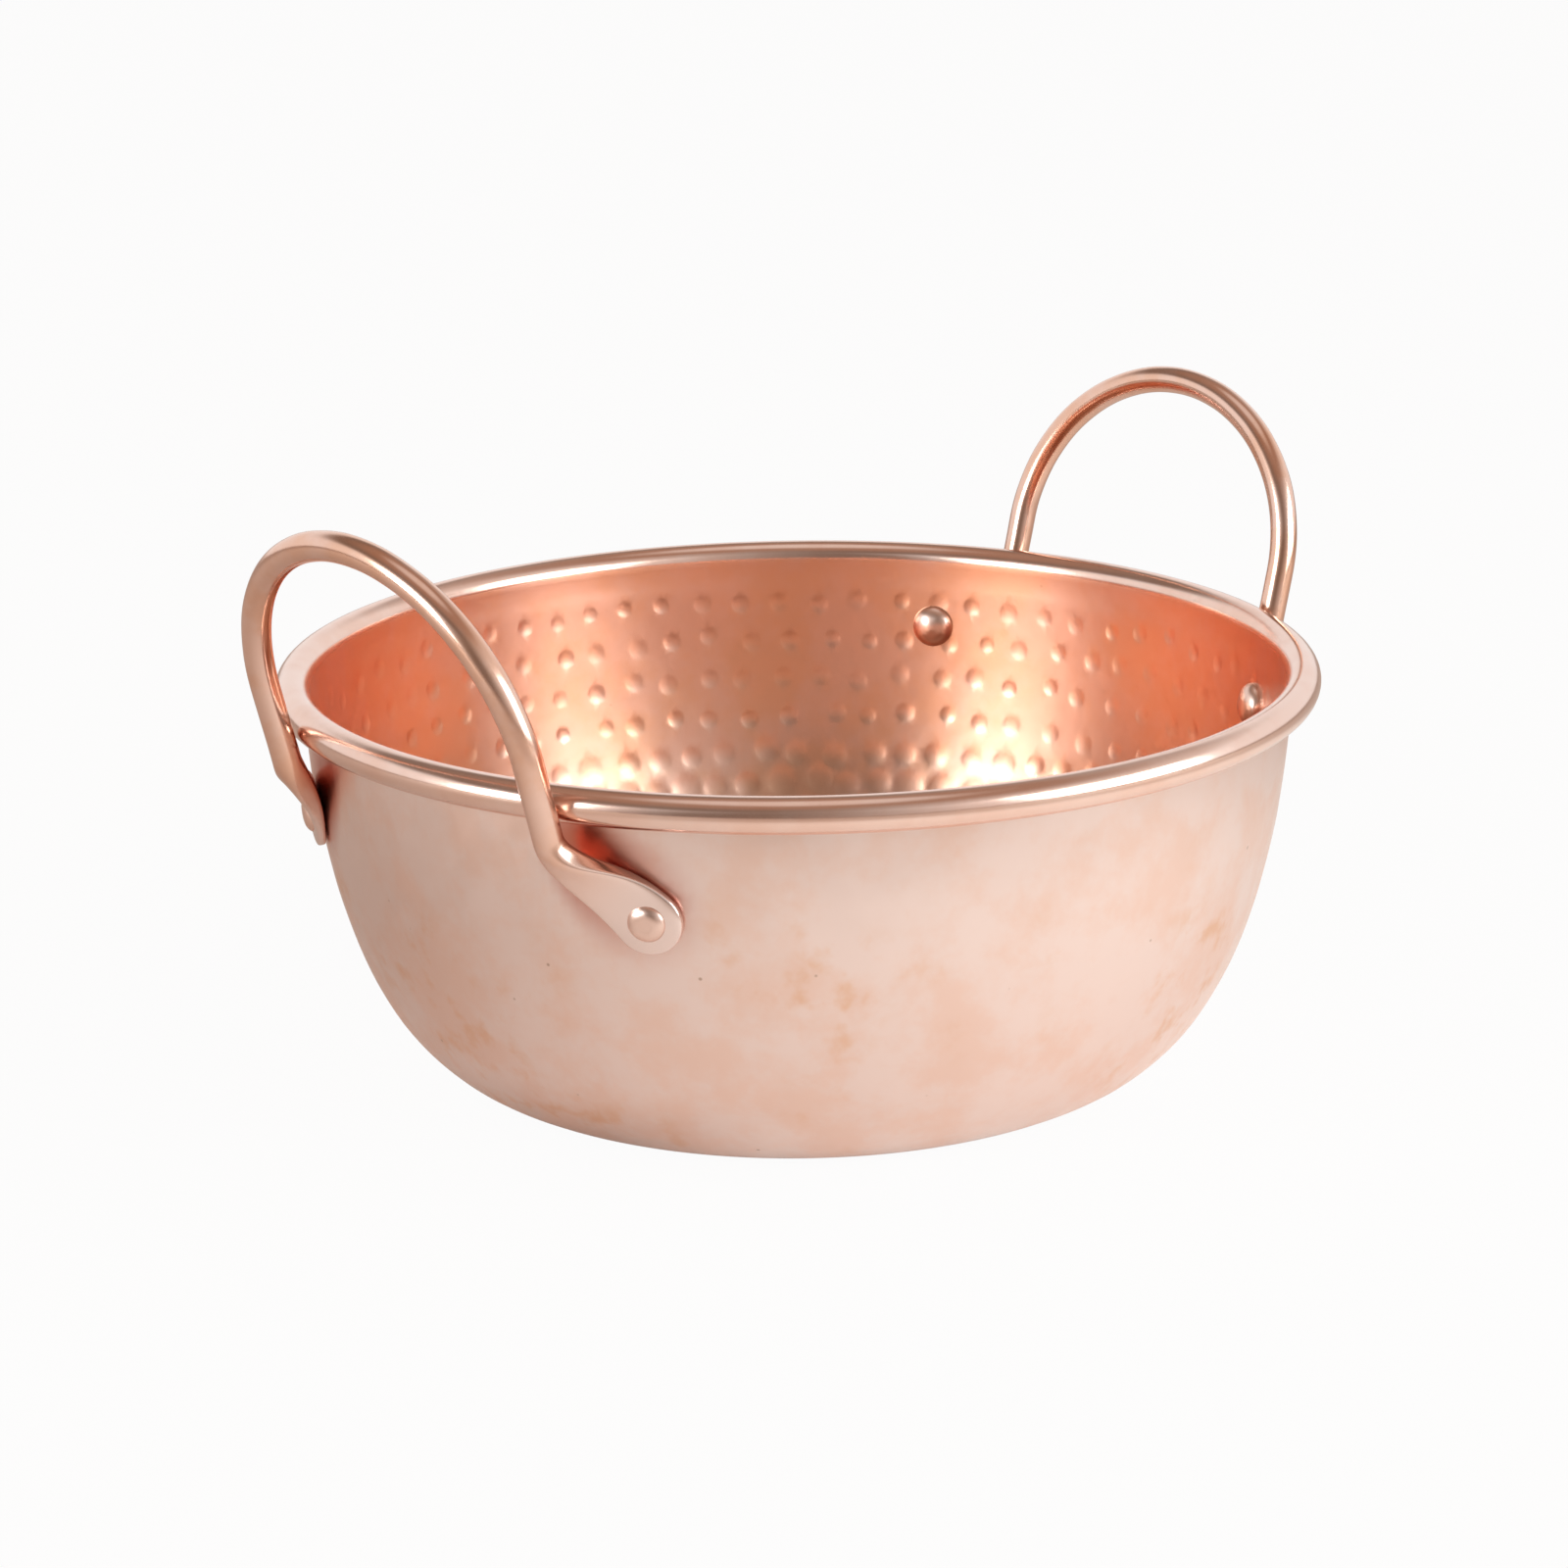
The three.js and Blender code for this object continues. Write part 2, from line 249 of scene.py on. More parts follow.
def new_piece(name, points, faces, materials, slot, *replaced):
    """A smooth-shaded piece that rides on the pot and stands for some of the model's nodes."""
    mesh = bpy.data.meshes.new(name)
    mesh.from_pydata([tuple(p) for p in points], [], faces)
    mesh.shade_smooth()
    for material in materials:
        mesh.materials.append(material)
    piece = bpy.data.objects.new(name, mesh)
    bpy.context.scene.collection.objects.link(piece)
    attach(piece, BODY)
    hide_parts(*replaced)
    return piece


def add_mask(piece, name, values):
    """A value from 0 to 1 at each point of a piece, for its material."""
    piece.data.attributes.new(name, "FLOAT", "POINT").data.foreach_set("value", values)


def loft(rings):
    """Points and faces over a row of rings of points. Each ring has the points of the one before it."""
    points = np.concatenate(rings)
    count = len(rings[0])
    faces = []
    for low in range(0, len(points) - count, count):
        for i in range(count):
            j = (i + 1) % count
            faces.append((low + i, low + j, low + count + j, low + count + i))
    return points, faces


def close_end(points, faces, start, count, turned):
    """Closes the hole in a ring of points with a fan round its middle."""
    hub = len(points)
    middle = points[start:start + count].mean(axis=0)
    for i in range(count):
        a, b = start + i, start + (i + 1) % count
        faces.append((hub, b, a) if turned else (hub, a, b))
    return np.vstack([points, middle])


def closed_loft(rings):
    points, faces = loft(rings)
    count = len(rings[0])
    last = len(points) - count
    points = close_end(points, faces, 0, count, True)
    points = close_end(points, faces, last, count, False)
    return points, faces


def ripple(points, width, seed):
    """A smooth unevenness from about -1 to 1 at each point, with waves of the given width."""
    shift = Vector((seed * 7.3, seed * 3.1, seed * 5.7))
    return np.array([noise.noise(Vector(p) / width + shift) for p in points])


def facets(points, width):
    """Shallow dishes that meet in soft edges, as a planishing hammer leaves, from -1 to about 1."""
    nearest = [noise.voronoi(Vector(p) / width)[0][0] for p in points]
    return np.array(nearest) * 2 - 1


# The hammered bowl

def smooth(x):
    x = np.clip(x, 0, 1)
    return x * x * (3 - 2 * x)


class InsideLine:
    """The inside's outline from the rolled rim down the wall and in to the middle of the base."""

    def __init__(self, bowl):
        points, normals = wall_line(bowl, even_shares(bowl, SMOOTH_STEP / 4)[::-1])
        inner = points - normals * bowl.sheet
        inner[0] = roll_centre(bowl) - [roll_radius(bowl), 0]
        self.points = np.vstack([inner, [0, bowl.sheet]])
        self.normals = np.vstack([-normals, [0, 1]])
        steps = np.linalg.norm(np.diff(self.points, axis=0), axis=1)
        self.runs = np.concatenate([[0], np.cumsum(steps)])
        self.length = self.runs[-1]

    def at(self, rows, run):
        return np.stack([np.interp(run, self.runs, rows[:, i]) for i in (0, 1)], axis=-1)

    def radius(self, run):
        return np.interp(run, self.runs, self.points[:, 0])


MARK_SCATTER = 0.07  # how far marks stray from their rows, as a share of their pitch
MARK_WIDTHS = (0.84, 1.12)  # shares of the usual width
MARK_DEPTHS = (0.6, 1.15)  # shares of the usual depth
BIG_ROW_SHARE = 0.88  # between rows of big marks, as a share of their pitch
LIP_WIDTH = 0.2  # width and height of the lip round a mark, as shares of its radius and depth
LIP_HEIGHT = 0.2
LIP_REACH = 2.0  # mark radii
LIP_FADE = 0.3  # share of the usual depth over which a lip gives way to another mark's dish
CREASE_WIDTH = 0.0008
CALM_RUN = 0.006  # the outside's facets fade out this near to the base and the rim


def hammer_marks(bowl, line):
    """Rows of round hammer marks, as columns: run from the rim, turn, radius and depth."""
    random = np.random.default_rng(SEED)
    marks = []
    run = bowl.first_row
    while run < line.length - bowl.big_mark_width / 2:
        big = float(smooth((run - bowl.big_marks_from) / bowl.row_pitch))
        pitch = bowl.mark_pitch + (bowl.big_mark_pitch - bowl.mark_pitch) * big
        width = bowl.mark_width + (bowl.big_mark_width - bowl.mark_width) * big
        depth = bowl.mark_depth + (bowl.big_mark_depth - bowl.mark_depth) * big
        radius = float(line.radius(run))
        count = max(3, round(2 * math.pi * radius / pitch))
        turns = (np.arange(count) + random.uniform()) * 2 * math.pi / count
        marks.append(np.stack([
            run + random.normal(0, MARK_SCATTER, count) * pitch,
            turns + random.normal(0, MARK_SCATTER, count) * pitch / radius,
            random.uniform(*MARK_WIDTHS, count) * width / 2,
            random.uniform(*MARK_DEPTHS, count) * depth,
        ], axis=1))
        run += bowl.row_pitch + (bowl.big_mark_pitch * BIG_ROW_SHARE - bowl.row_pitch) * big
    return np.concatenate(marks)


def marks_reach(marks, run, turn, radius, reach):
    """For each mark: the points within its reach and how far they are, in mark radii."""
    order = np.argsort(run)
    in_order = run[order]
    for mark in marks:
        first, last = np.searchsorted(in_order, [mark[0] - reach * mark[2], mark[0] + reach * mark[2]])
        near = order[first:last]
        along = (turn[near] - mark[1] + math.pi) % (2 * math.pi) - math.pi
        apart = np.hypot(along * radius[near], run[near] - mark[0]) / mark[2]
        close = apart < reach
        yield mark, near[close], apart[close]


def inside_spots(bowl, line, marks):
    """Places over the inside, as run and turn: rings round each mark and a sparse net between them."""
    spots = []
    for run, turn, half, _ in marks:
        spots.append([[run, turn]])
        for i, (share_out, count) in enumerate(MARK_RINGS):
            around = (np.arange(count) + 0.5 * (i % 2)) * 2 * math.pi / count
            ring_run = run + half * share_out * np.sin(around)
            ring_radius = np.maximum(line.radius(ring_run), half)
            spots.append(np.stack([ring_run, turn + half * share_out * np.cos(around) / ring_radius], 1))
    ringed = np.concatenate(spots)
    kept = np.ones(len(ringed), bool)
    owner = np.repeat(np.arange(len(marks)), 1 + sum(count for _, count in MARK_RINGS))
    reach = marks_reach(marks, ringed[:, 0], ringed[:, 1], line.radius(ringed[:, 0]), 1.0)
    for i, (_, near, _) in enumerate(reach):
        kept[near[owner[near] > i]] = False
    ringed = ringed[kept & (ringed[:, 0] < line.length)]
    net = []
    for i, run in enumerate(np.arange(SMOOTH_STEP / 2, line.length, SMOOTH_STEP * NET_ROW_SHARE)):
        near_rim = run < bowl.first_row - bowl.mark_width
        even = max(6, round(2 * math.pi * line.radius(run) / SMOOTH_STEP))
        count = ROUND_SEGMENTS if near_rim else even
        turns = (np.arange(count) + 0.5 * (i % 2)) * 2 * math.pi / count
        net.append(np.stack([np.full(count, run), turns], axis=1))
    net = np.concatenate(net)
    kept = np.ones(len(net), bool)
    reach = marks_reach(marks, net[:, 0], net[:, 1], line.radius(net[:, 0]), NET_CLEARANCE)
    for _, near, _ in reach:
        kept[near] = False
    return np.concatenate([ringed, net[kept]])


def mark_depths(marks, run, turn, radius):
    """How far the marks push the sheet out: round dishes, each with a slight lip."""
    dish, lip = np.zeros(len(run)), np.zeros(len(run))
    for mark, near, apart in marks_reach(marks, run, turn, radius, LIP_REACH):
        depth = mark[3] * np.clip(1 - apart**2, 0, None)
        dish[near] = np.maximum(dish[near], depth)
        off = np.clip(apart - 1, 0, None) / LIP_WIDTH
        lip[near] += LIP_HEIGHT * mark[3] * off * np.exp(1 - off)
    return dish - lip * (1 - smooth(dish / (LIP_FADE * marks[:, 3].mean())))


def inside_surface(bowl):
    """The hammered inside as points and triangles. Its first points are the ring at the rolled rim."""
    line = InsideLine(bowl)
    marks = hammer_marks(bowl, line)
    edge_turns = np.arange(ROUND_SEGMENTS) * 2 * math.pi / ROUND_SEGMENTS
    edge = np.stack([np.zeros(ROUND_SEGMENTS), edge_turns], axis=1)
    run, turn = np.concatenate([edge, inside_spots(bowl, line, marks)]).T
    radius, height = line.at(line.points, run).T
    inward, up = line.at(line.normals, run).T
    points = np.stack([radius * np.cos(turn), radius * np.sin(turn), height], axis=1)
    depth = mark_depths(marks, run, turn, radius)
    depth += ripple(points, bowl.planish_width, 2) * bowl.planish_depth / 2
    depth += bowl.crease_depth * np.exp(-(((run - bowl.crease_run) / CREASE_WIDTH) ** 2))
    depth *= smooth(run / bowl.crease_run)
    points[:, 0] -= np.cos(turn) * inward * depth
    points[:, 1] -= np.sin(turn) * inward * depth
    points[:, 2] -= up * depth
    spread = (line.length - run)[:, None] * np.stack([np.cos(turn), np.sin(turn)], axis=1)
    flat = [Vector(spot) for spot in spread * 1000]
    placed, _, triangles, *_ = geometry.delaunay_2d_cdt(flat, [], [], 0, 1e-6)
    if len(placed) != len(flat):
        raise RuntimeError("two points of the hammered inside fall together")
    return points, triangles


def ring(radius, height, count):
    turns = np.arange(count) * 2 * math.pi / count
    radii = np.broadcast_to(radius, count)
    return np.stack([radii * np.cos(turns), radii * np.sin(turns), np.broadcast_to(height, count)], 1)


def outside_rings(bowl):
    """The underside of the base and the wall's outside, with soft waves from planishing."""
    foot = bowl.base_diameter / 2
    rings = [ring(r, 0.0, ROUND_SEGMENTS) for r in np.linspace(0, foot, BASE_STEPS + 1)[1:-1]]
    points, normals = wall_line(bowl, even_shares(bowl, WALL_STEP))
    for (radius, height), (out, up) in zip(points, normals):
        circle = ring(radius, height, ROUND_SEGMENTS)
        calm = min(1.0, height / CALM_RUN, (points[-1, 1] - height) / CALM_RUN)
        wave = facets(circle, bowl.planish_width) + ripple(circle, bowl.planish_width * 2, 1)
        wave *= bowl.planish_depth * max(0.0, calm)
        heading = circle[:, :2] / radius
        circle[:, :2] += heading * (wave * out)[:, None]
        circle[:, 2] += wave * up
        rings.append(circle)
    return rings


def rolled_rings(bowl):
    """The rolled rim: the inside of the roll, then its outside back to the top of the inner wall."""
    centre, radius = roll_centre(bowl), roll_radius(bowl)
    end = -math.acos((bowl.sheet + bowl.seam_gap) / radius - 1)
    turns = np.linspace(math.pi, end, ROLL_STEPS + 1)
    hidden = [(radius - bowl.sheet, t) for t in turns[1::3]]
    shown = [(radius, t) for t in turns[::-1]]
    return [
        ring(centre[0] + r * math.cos(t), centre[1] + r * math.sin(t), ROUND_SEGMENTS)
        for r, t in hidden + shown
    ]


# The handles

TIP_TURN = math.radians(89)  # just short of a quarter turn, so that the tip keeps a narrow face
TIP_THICKNESS = 0.45  # share of the foot's thickness that is left at its very tip
FLAT_SQUARENESS = 2.4  # how square the section is on the flat foot, and how much more in the bend
BEND_SQUARENESS = 10
SHORT_DENTS = 0.008  # widths of the dents that make the rod uneven
LONG_DENTS = 0.026
LONG_STRENGTH = 1.5  # against the short ones
INWARD_BIAS = 1.3  # keeps the uneven rod inside its diameter
CREVICE_FADE = 0.004  # over this distance the painted red shade in the crevices behind the feet fades out
BEND_REACH = 0.0075  # how far it reaches from a foot where the bar bends away from the wall
EDGE_REACH = 0.0035  # how far it reaches above the flat of a foot, and how strong it is there
EDGE_SHADE = 0.7


def loop_frame(bowl, handles):
    """A handle's own frame: the foot of its plane, the way up its plane and the way out of it."""
    leg_radius = bowl.rim_diameter / 2 + handles.leg_clearance + handles.rod / 2
    leg_azimuth = math.asin(handles.width / 2 / leg_radius)
    origin = np.array([leg_radius * math.cos(leg_azimuth), 0, roll_centre(bowl)[1]])
    up = np.array([math.sin(handles.lean), 0, math.cos(handles.lean)])
    out = np.array([math.cos(handles.lean), 0, -math.sin(handles.lean)])
    return origin, up, out, leg_azimuth


def rivet_seat(bowl, handles, sign, drop):
    """Azimuth, place and outward normal of a rivet on the wall, in its handle's frame."""
    radius, (out, up) = wall_at_height(bowl, bowl.height - drop)
    azimuth = sign * (loop_frame(bowl, handles)[3] + handles.foot_spread / radius)
    place = np.array([radius * math.cos(azimuth), radius * math.sin(azimuth), bowl.height - drop])
    normal = np.array([out * math.cos(azimuth), out * math.sin(azimuth), up])
    return azimuth, place, normal


def side_facts(handles):
    """Each handle's side, its heading round the pot and how far below the rim its rivets are."""
    return (
        ("left", math.pi + handles.skew, handles.left_rivet_drop),
        ("right", -handles.skew, handles.right_rivet_drop),
    )


def foot_stations(bowl, handles, seat_gap, sign, drop):
    """Stations from the tip of a foot up to its leg: place, facing, half sizes and flatness."""
    origin, up, out, _ = loop_frame(bowl, handles)
    _, place, normal = rivet_seat(bowl, handles, sign, drop)
    flat_across, flat_through = handles.paddle_width / 2, handles.paddle_thickness / 2
    round_half = handles.rod / 2
    middle = place + normal * (seat_gap + flat_through)
    leg_end = origin - up * (roll_radius(bowl) + handles.leg_below_rim)
    leg_end = leg_end + [0, sign * handles.width / 2, 0]
    along = middle - leg_end
    along -= normal * (along @ normal)
    along /= np.linalg.norm(along)
    stations = []
    for turn in np.linspace(TIP_TURN, 0, TIP_STEPS, endpoint=False):
        spot = middle + along * flat_across * math.sin(turn)
        through = flat_through * (TIP_THICKNESS + (1 - TIP_THICKNESS) * math.cos(turn) ** 0.5)
        stations.append((spot, normal, flat_across * math.cos(turn), through, 1.0))
    controls = (
        middle,
        middle - along * handles.bend_at_rivet,
        leg_end - up * handles.bend_at_leg,
        leg_end,
    )
    for t in np.linspace(0, 1, FOOT_STEPS + 1):
        s, fade, narrowing = 1 - t, smooth(t), math.sin(t * math.pi / 2) ** 1.3
        weights = (s**3, 3 * s**2 * t, 3 * s * t**2, t**3)
        spot = sum(w * p for w, p in zip(weights, controls))
        stations.append((
            spot,
            normal * (1 - fade) + out * fade,
            flat_across * (1 - narrowing) + round_half * narrowing,
            flat_through * (1 - fade) + round_half * fade,
            1 - fade,
        ))
    spring = origin + up * handles.leg_rise + [0, sign * handles.width / 2, 0]
    for t in np.linspace(0, 1, LEG_STEPS + 1)[1:-1]:
        stations.append((leg_end * (1 - t) + spring * t, out, round_half, round_half, 0.0))
    return stations


def loop_stations(bowl, handles):
    origin, up, out, _ = loop_frame(bowl, handles)
    half = handles.rod / 2
    stations = []
    for turn in np.linspace(0, math.pi, ARCH_STEPS + 1):
        rise = handles.leg_rise + handles.arch_rise * math.sin(turn)
        spot = origin + up * rise + [0, handles.width / 2 * math.cos(turn), 0]
        stations.append((spot, out, half, half, 0.0))
    return stations


def section_ring(station, before, after):
    """Points round a station, an oval that gets squarer as the bar is flattened, with its depth."""
    spot, out, half_across, half_through, flat = station
    forward = after[0] - before[0]
    forward /= np.linalg.norm(forward)
    across = np.cross(forward, out)
    across /= np.linalg.norm(across)
    facing = np.cross(across, forward)
    turns = (np.arange(ROD_SIDES) + 0.5) * 2 * math.pi / ROD_SIDES
    squareness = FLAT_SQUARENESS * flat + BEND_SQUARENESS * flat * (1 - flat)
    power = 2 / (2 + squareness)
    wide = np.sign(np.cos(turns)) * np.abs(np.cos(turns)) ** power
    deep = np.sign(np.sin(turns)) * np.abs(np.sin(turns)) ** power
    points = spot + np.outer(wide * half_across, across) + np.outer(deep * half_through, facing)
    return points, (deep + 1) * half_through


def crevice_shades(pot, points):
    """How deep each point of the wall lies in the crevice behind a foot, from 0 to 1: the mask of the
    painted shade and reflection there, and of a painted dark line just above each foot's upper edge.
    """
    shades = np.zeros(len(points))
    for _, heading, drop in side_facts(pot.handles):
        local = turned_about_z(points, -heading)
        for sign in (1, -1):
            stations = foot_stations(pot.bowl, pot.handles, pot.rivets.seat, sign, drop)
            for spot, _, half_across, _, flat in stations[TIP_STEPS:]:
                apart = np.linalg.norm(local - spot, axis=1) - half_across
                above = smooth((local[:, 2] - spot[2]) / CREVICE_FADE)
                behind_bend = (1 - flat) ** 0.6 * smooth((BEND_REACH - apart) / CREVICE_FADE)
                over_edge = EDGE_SHADE * smooth((EDGE_REACH - apart) / CREVICE_FADE) * above
                shades = np.maximum(shades, np.maximum(behind_bend, over_edge))
    return shades


def lay_on_wall(bowl, points, depths, flat, gap):
    """Moves a flattened foot's points so that its inner face follows the wall at a small gap."""
    radius = np.hypot(points[:, 0], points[:, 1])
    wall, normal = wall_at_height(bowl, points[:, 2])
    off_wall = (radius - wall) * normal[:, 0]
    move = (gap + depths - off_wall) * flat**3
    heading = points[:, :2] / radius[:, None]
    points[:, :2] += heading * (move * normal[:, 0])[:, None]
    points[:, 2] += move * normal[:, 1]
    return points


def handle_rings(bowl, handles, seat_gap, drop):
    """Rings of points from foot to foot, and how far the bar is flattened at each."""
    near = foot_stations(bowl, handles, seat_gap, 1, drop)
    far = foot_stations(bowl, handles, seat_gap, -1, drop)
    stations = near + loop_stations(bowl, handles) + far[::-1]
    rings = []
    for i, station in enumerate(stations):
        before, after = stations[max(i - 1, 0)], stations[min(i + 1, len(stations) - 1)]
        points, depths = section_ring(station, before, after)
        points = lay_on_wall(bowl, points, depths, station[4], handles.paddle_gap)
        uneven = ripple(points, SHORT_DENTS, 3) + LONG_STRENGTH * ripple(points, LONG_DENTS, 5)
        uneven = (uneven - INWARD_BIAS) * handles.hand_work
        rings.append(points + (points - points.mean(axis=0)) * uneven[:, None] / (handles.rod / 2))
    return rings[::-1], [station[4] for station in stations[::-1]]


def turned_about_z(points, heading):
    return np.asarray(points) @ np.array(Matrix.Rotation(heading, 3, "Z")).T


# The rivets

RIVET_DENT_WIDTH = 0.0026
RIVET_DENT_DEPTH = 0.00012
DOME_START = 0.04  # share of the way from the middle of a head to its edge
INNER_EDGE = 0.97  # underside of a head, as a share of its diameter
OUTER_EDGE = 0.99


def rivet_rings(bowl, handles, rivets, sign, drop):
    """A rivet along the wall's normal: a domed head inside, its shank, a hammered head outside."""
    azimuth, place, normal = rivet_seat(bowl, handles, sign, drop)
    side = np.array([-math.sin(azimuth), math.cos(azimuth), 0])
    tall = np.cross(normal, side)
    wall_in = -bowl.sheet
    foot_out = handles.paddle_gap + handles.paddle_thickness
    outline = []
    for t in np.linspace(DOME_START, 1, DOME_STEPS):
        turn = t * math.pi / 2
        outline.append((rivets.inner_head / 2 * math.sin(turn),
                        wall_in - rivets.inner_height * math.cos(turn) ** 0.9))
    outline.append((rivets.inner_head / 2 * INNER_EDGE, wall_in + rivets.bedding))
    outline.append((rivets.shank / 2, wall_in + rivets.bedding))
    outline.append((rivets.shank / 2, foot_out - rivets.bedding))
    outline.append((rivets.outer_head / 2 * OUTER_EDGE, foot_out - rivets.bedding))
    for t in np.linspace(1, DOME_START, DOME_STEPS):
        outline.append((rivets.outer_head / 2 * t, foot_out + rivets.outer_height * (1 - t**4)))
    turns = np.arange(RIVET_SEGMENTS) * 2 * math.pi / RIVET_SEGMENTS
    rings = []
    for radius, height in outline:
        circle = place + normal * height
        circle = circle + radius * (np.outer(np.cos(turns), side) + np.outer(np.sin(turns), tall))
        dent = ripple(circle, RIVET_DENT_WIDTH, 4 + sign) * RIVET_DENT_DEPTH
        rings.append(circle + np.outer(dent * (radius > rivets.shank / 4), normal))
    return rings


# Materials

def place_node(tree, kind, inputs=None, **facts):
    """A node with its settings and inputs. An input is a value or another node's socket."""
    made = tree.nodes.new(kind)
    for name, value in facts.items():
        setattr(made, name, value)
    for name, value in (inputs or {}).items():
        if isinstance(value, bpy.types.NodeSocket):
            tree.links.new(value, made.inputs[name])
        else:
            made.inputs[name].default_value = value
    return made


def math_node(tree, operation, *values, clamp=False):
    return place_node(tree, "ShaderNodeMath", dict(enumerate(values)), operation=operation,
                      use_clamp=clamp).outputs[0]


def mix_colours(tree, factor, first, second):
    made = place_node(tree, "ShaderNodeMix", {0: factor, 6: first, 7: second}, data_type="RGBA")
    return made.outputs[2]


def remap(tree, value, low, high, start=0.0, end=1.0):
    made = place_node(tree, "ShaderNodeMapRange", {
        "Value": value, "From Min": low, "From Max": high, "To Min": start, "To Max": end,
    }, interpolation_type="SMOOTHSTEP")
    return made.outputs[0]


def noise_node(tree, spot, scale, detail, roughness, distortion=0.0):
    return place_node(tree, "ShaderNodeTexNoise", {
        "Vector": spot, "Scale": scale, "Detail": detail, "Roughness": roughness,
        "Distortion": distortion,
    }).outputs["Fac"]


def new_group(name, inputs, outputs):
    """An empty shader node group with named sockets, and the nodes at its two ends."""
    tree = bpy.data.node_groups.new(name, "ShaderNodeTree")
    for socket, kind in inputs.items():
        tree.interface.new_socket(socket, in_out="INPUT", socket_type=f"NodeSocket{kind}")
    for socket, kind in outputs.items():
        tree.interface.new_socket(socket, in_out="OUTPUT", socket_type=f"NodeSocket{kind}")
    return tree, tree.nodes.new("NodeGroupInput"), tree.nodes.new("NodeGroupOutput")


BUFFED_SHARE = 0.12  # how much the buffing and the grain add to the drift of the tone
GRAIN_SHARE = 0.15
WARM_FROM = (0.50, 0.78)  # values of the noise between which the tone, the stains and the specks fade in
STAIN_FROM = (0.48, 0.74)
STAIN_REGION = (0.48, 0.64)
SPECK_SIZE = (0.11, 0.04)
SPECK_DRAW = 0.94  # share of the cells that have no speck
SPECK_COLOUR = (0.42, 0.26, 0.18, 1)
WARM_DULLNESS = 0.35
HAZE_FROM = (0.38, 0.70)
COPPER_GRAIN = 180.0
WIRE_GRAIN = 900.0
WIRE_ROUGHNESS = 0.35
WIRE_HAZE = 0.2
STAINS_BELOW = (0.070, 0.035)  # heights between which the stains fade in towards the base


def copper_tone_group():
    """Copper whose colour drifts from clean to warm, with faint brown stains and a few dark specks."""
    name = "copper_tone"
    if name in bpy.data.node_groups:
        return bpy.data.node_groups[name]
    tree, start, end = new_group(
        name,
        {"Clean": "Color", "Warm": "Color", "Tarnish": "Color", "Tarnish Amount": "Float"},
        {"Color": "Color", "Dullness": "Float"},
    )
    spot = place_node(tree, "ShaderNodeTexCoord").outputs["Object"]
    drift = noise_node(tree, spot, 60.0, 4.0, 0.6)
    region = noise_node(tree, spot, 30.0, 1.0, 0.5)
    patch = noise_node(tree, spot, 150.0, 3.0, 0.55)
    grain = noise_node(tree, spot, 400.0, 2.0, 0.6)
    cell = place_node(tree, "ShaderNodeTexVoronoi", {"Vector": spot, "Scale": 230.0})
    draw = place_node(tree, "ShaderNodeSeparateColor", {0: cell.outputs["Color"]}).outputs["Red"]
    pass_over = place_node(tree, "ShaderNodeTexVoronoi", {
        "Vector": spot, "Scale": 50.0, "Smoothness": 0.35,
    }, feature="SMOOTH_F1")
    buffed = place_node(tree, "ShaderNodeSeparateColor", {0: pass_over.outputs["Color"]}).outputs["Red"]
    mottled = math_node(tree, "MULTIPLY_ADD", buffed, BUFFED_SHARE, drift)
    mottled = math_node(tree, "MULTIPLY_ADD", grain, GRAIN_SHARE, mottled)
    warm = remap(tree, mottled, *WARM_FROM)
    stain = remap(tree, patch, *STAIN_FROM)
    stain = math_node(tree, "MULTIPLY", stain, remap(tree, region, *STAIN_REGION))
    low = remap(tree, place_node(tree, "ShaderNodeSeparateXYZ", {0: spot}).outputs["Z"], *STAINS_BELOW)
    stain = math_node(tree, "MULTIPLY", stain, low)
    stain = math_node(tree, "MULTIPLY", stain, start.outputs["Tarnish Amount"], clamp=True)
    speck = math_node(tree, "MULTIPLY", remap(tree, cell.outputs["Distance"], *SPECK_SIZE),
                      math_node(tree, "GREATER_THAN", draw, SPECK_DRAW))
    speck = math_node(tree, "MULTIPLY", speck, start.outputs["Tarnish Amount"], clamp=True)
    tone = mix_colours(tree, warm, start.outputs["Clean"], start.outputs["Warm"])
    tone = mix_colours(tree, stain, tone, start.outputs["Tarnish"])
    tone = mix_colours(tree, speck, tone, SPECK_COLOUR)
    tree.links.new(tone, end.inputs["Color"])
    tree.links.new(math_node(tree, "ADD", math_node(tree, "MULTIPLY", warm, WARM_DULLNESS), stain),
                   end.inputs["Dullness"])
    return tree


def polish_marks_group():
    """Fine marks left by polishing, as a height and as a share of added roughness."""
    name = "polish_marks"
    if name in bpy.data.node_groups:
        return bpy.data.node_groups[name]
    tree, start, end = new_group(
        name, {"Grain": "Float"}, {"Height": "Float", "Haze": "Float"}
    )
    spot = place_node(tree, "ShaderNodeTexCoord").outputs["Object"]
    fine = noise_node(tree, spot, start.outputs["Grain"], 1.0, 0.4)
    broad = noise_node(tree, spot, 130.0, 3.0, 0.6, distortion=0.6)
    tree.links.new(fine, end.inputs["Height"])
    tree.links.new(remap(tree, broad, *HAZE_FROM), end.inputs["Haze"])
    return tree


def new_material(name, metallic):
    """A new material with its node tree and its shader."""
    material = bpy.data.materials.new(name)
    material.use_nodes = True
    shader = material.node_tree.nodes["Principled BSDF"]
    shader.inputs["Metallic"].default_value = metallic
    return material, material.node_tree, shader


